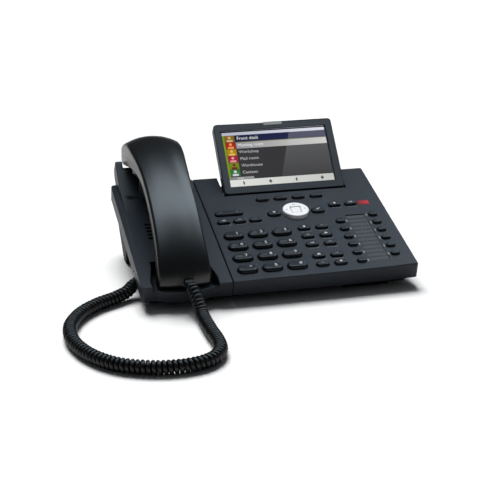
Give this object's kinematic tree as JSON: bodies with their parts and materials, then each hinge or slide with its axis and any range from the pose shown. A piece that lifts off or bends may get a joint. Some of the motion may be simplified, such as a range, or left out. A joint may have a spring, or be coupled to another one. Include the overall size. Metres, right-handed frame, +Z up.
{
  "type": "desk telephone",
  "caption": "Desk telephone with a corded handset in a cradle, a sloping key face and a colour display that tilts on pins.",
  "frame": {"origin": "on the desk under the middle of the phone without its cord", "axes": "+X to the user's right along the width, +Y from the user to the rear, +Z up"},
  "size_m": [0.2945, 0.2993, 0.1038],
  "materials": {
    "body_plastic": "fine matte texture, dark blue-grey",
    "key_plastic": "satin, dark blue-grey",
    "handset_plastic": "satin gloss, near black",
    "base_plastic": "matte, near black",
    "silver_plastic": "satin, near white",
    "light_pipe": "clear frosted",
    "red_lens": "clear red",
    "window": "clear plastic sheet",
    "screen_glass": "clear, polished",
    "lcd": "colour screen",
    "rubber": "matte",
    "key_rubber": "matte silicone",
    "cord": "soft satin jacket",
    "steel": "zinc plated",
    "board": "lacquered laminate",
    "paper": "printed card"
  },
  "bodies": {
    "base": {"top_cover": "body_plastic", "cradle_cover": "body_plastic", "base_cover": "base_plastic", "footstand": "base_plastic", "stand_pads": "rubber", "front_pads": "rubber", "case_screws": "steel", "main_board": "board", "key_mat": "key_rubber", "label_strip": "paper", "label_window": "window", "line_lights": "light_pipe", "message_light": "red_lens", "rear_jacks": "base_plastic", "handset_port": "base_plastic", "loudspeaker": "steel", "display_pins": "steel", "handset_cord": "cord", "cord_plug_base": "cord"},
    "display": {"display_bezel": "body_plastic", "display_back": "body_plastic", "lcd_panel": "lcd", "display_glass": "screen_glass", "call_light": "light_pipe"},
    "handset": {"handset_outer": "handset_plastic", "handset_inner": "handset_plastic", "ear_cap": "handset_plastic", "ear_speaker": "steel", "microphone": "steel", "handset_socket": "base_plastic", "handset_weight": "steel", "cord_plug_handset": "cord"},
    "hook": {"hook_plunger": "base_plastic"},
    "key_1": {"key_1": "key_plastic"},
    "key_2": {"key_2": "key_plastic"},
    "key_3": {"key_3": "key_plastic"},
    "key_4": {"key_4": "key_plastic"},
    "key_5": {"key_5": "key_plastic"},
    "key_6": {"key_6": "key_plastic"},
    "key_7": {"key_7": "key_plastic"},
    "key_8": {"key_8": "key_plastic"},
    "key_9": {"key_9": "key_plastic"},
    "key_star": {"key_star": "key_plastic"},
    "key_0": {"key_0": "key_plastic"},
    "key_hash": {"key_hash": "key_plastic"},
    "nav_ring": {"nav_ring": "silver_plastic"},
    "ok_key": {"ok_key": "silver_plastic"},
    "cancel_key": {"cancel_key": "key_plastic"},
    "confirm_key": {"confirm_key": "key_plastic"},
    "volume_key": {"volume_key": "key_plastic"},
    "soft_keys": {"soft_keys": "key_plastic"},
    "feature_keys": {"feature_keys": "key_plastic"},
    "corner_keys": {"corner_keys": "key_plastic"},
    "call_keys": {"call_keys": "key_plastic"},
    "menu_keys": {"menu_keys": "key_plastic"},
    "line_keys_left": {"line_keys_left": "key_plastic"},
    "line_keys_right": {"line_keys_right": "key_plastic"}
  },
  "joints": [
    {"name": "display_tilt", "type": "hinge", "parent": "base", "child": "display", "pos_m": [0.0351, 0.04321, 0.04938], "axis": [1, 0, 0], "range_deg": [-32, 15]},
    {"name": "handset_lift", "type": "slide", "parent": "base", "child": "handset", "axis": [0, 0, 1], "range_m": [0, 0.06]},
    {"name": "hook_travel", "type": "slide", "parent": "base", "child": "hook", "axis": [0, 0, 1], "range_m": [0, 0.003]},
    {"name": "key_1_press", "type": "slide", "parent": "base", "child": "key_1", "axis": [0, 0.2478, -0.9688], "range_m": [0, 0.0012], "stiffness_N_per_m": 150, "springref_m": -0.0004},
    {"name": "key_2_press", "type": "slide", "parent": "base", "child": "key_2", "axis": [0, 0.2478, -0.9688], "range_m": [0, 0.0012], "stiffness_N_per_m": 150, "springref_m": -0.0004},
    {"name": "key_3_press", "type": "slide", "parent": "base", "child": "key_3", "axis": [0, 0.2478, -0.9688], "range_m": [0, 0.0012], "stiffness_N_per_m": 150, "springref_m": -0.0004},
    {"name": "key_4_press", "type": "slide", "parent": "base", "child": "key_4", "axis": [0, 0.2478, -0.9688], "range_m": [0, 0.0012], "stiffness_N_per_m": 150, "springref_m": -0.0004},
    {"name": "key_5_press", "type": "slide", "parent": "base", "child": "key_5", "axis": [0, 0.2478, -0.9688], "range_m": [0, 0.0012], "stiffness_N_per_m": 150, "springref_m": -0.0004},
    {"name": "key_6_press", "type": "slide", "parent": "base", "child": "key_6", "axis": [0, 0.2478, -0.9688], "range_m": [0, 0.0012], "stiffness_N_per_m": 150, "springref_m": -0.0004},
    {"name": "key_7_press", "type": "slide", "parent": "base", "child": "key_7", "axis": [0, 0.2478, -0.9688], "range_m": [0, 0.0012], "stiffness_N_per_m": 150, "springref_m": -0.0004},
    {"name": "key_8_press", "type": "slide", "parent": "base", "child": "key_8", "axis": [0, 0.2478, -0.9688], "range_m": [0, 0.0012], "stiffness_N_per_m": 150, "springref_m": -0.0004},
    {"name": "key_9_press", "type": "slide", "parent": "base", "child": "key_9", "axis": [0, 0.2478, -0.9688], "range_m": [0, 0.0012], "stiffness_N_per_m": 150, "springref_m": -0.0004},
    {"name": "key_star_press", "type": "slide", "parent": "base", "child": "key_star", "axis": [0, 0.2478, -0.9688], "range_m": [0, 0.0012], "stiffness_N_per_m": 150, "springref_m": -0.0004},
    {"name": "key_0_press", "type": "slide", "parent": "base", "child": "key_0", "axis": [0, 0.2478, -0.9688], "range_m": [0, 0.0012], "stiffness_N_per_m": 150, "springref_m": -0.0004},
    {"name": "key_hash_press", "type": "slide", "parent": "base", "child": "key_hash", "axis": [0, 0.2478, -0.9688], "range_m": [0, 0.0012], "stiffness_N_per_m": 150, "springref_m": -0.0004},
    {"name": "nav_ring_press", "type": "slide", "parent": "base", "child": "nav_ring", "axis": [0, 0.2478, -0.9688], "range_m": [0, 0.0012], "stiffness_N_per_m": 150, "springref_m": -0.0004},
    {"name": "ok_key_press", "type": "slide", "parent": "base", "child": "ok_key", "axis": [0, 0.2478, -0.9688], "range_m": [0, 0.0012], "stiffness_N_per_m": 150, "springref_m": -0.0004},
    {"name": "cancel_key_press", "type": "slide", "parent": "base", "child": "cancel_key", "axis": [0, 0.2478, -0.9688], "range_m": [0, 0.0012], "stiffness_N_per_m": 150, "springref_m": -0.0004},
    {"name": "confirm_key_press", "type": "slide", "parent": "base", "child": "confirm_key", "axis": [0, 0.2478, -0.9688], "range_m": [0, 0.0012], "stiffness_N_per_m": 150, "springref_m": -0.0004},
    {"name": "volume_key_press", "type": "slide", "parent": "base", "child": "volume_key", "axis": [0, 0.2478, -0.9688], "range_m": [0, 0.0012], "stiffness_N_per_m": 150, "springref_m": -0.0004},
    {"name": "soft_keys_press", "type": "slide", "parent": "base", "child": "soft_keys", "axis": [0, 0.2478, -0.9688], "range_m": [0, 0.0012], "stiffness_N_per_m": 400, "springref_m": -0.0004},
    {"name": "feature_keys_press", "type": "slide", "parent": "base", "child": "feature_keys", "axis": [0, 0.2478, -0.9688], "range_m": [0, 0.0012], "stiffness_N_per_m": 400, "springref_m": -0.0004},
    {"name": "corner_keys_press", "type": "slide", "parent": "base", "child": "corner_keys", "axis": [0, 0.2478, -0.9688], "range_m": [0, 0.0012], "stiffness_N_per_m": 400, "springref_m": -0.0004},
    {"name": "call_keys_press", "type": "slide", "parent": "base", "child": "call_keys", "axis": [0, 0.2478, -0.9688], "range_m": [0, 0.0012], "stiffness_N_per_m": 400, "springref_m": -0.0004},
    {"name": "menu_keys_press", "type": "slide", "parent": "base", "child": "menu_keys", "axis": [0, 0.2478, -0.9688], "range_m": [0, 0.0012], "stiffness_N_per_m": 400, "springref_m": -0.0004},
    {"name": "line_keys_left_press", "type": "slide", "parent": "base", "child": "line_keys_left", "axis": [0, 0.2478, -0.9688], "range_m": [0, 0.0012], "stiffness_N_per_m": 400, "springref_m": -0.0004},
    {"name": "line_keys_right_press", "type": "slide", "parent": "base", "child": "line_keys_right", "axis": [0, 0.2478, -0.9688], "range_m": [0, 0.0012], "stiffness_N_per_m": 400, "springref_m": -0.0004}
  ],
  "couplings": [
    {"joint": "hook_travel", "follows": "handset_lift", "ratio": 0.05}
  ]
}
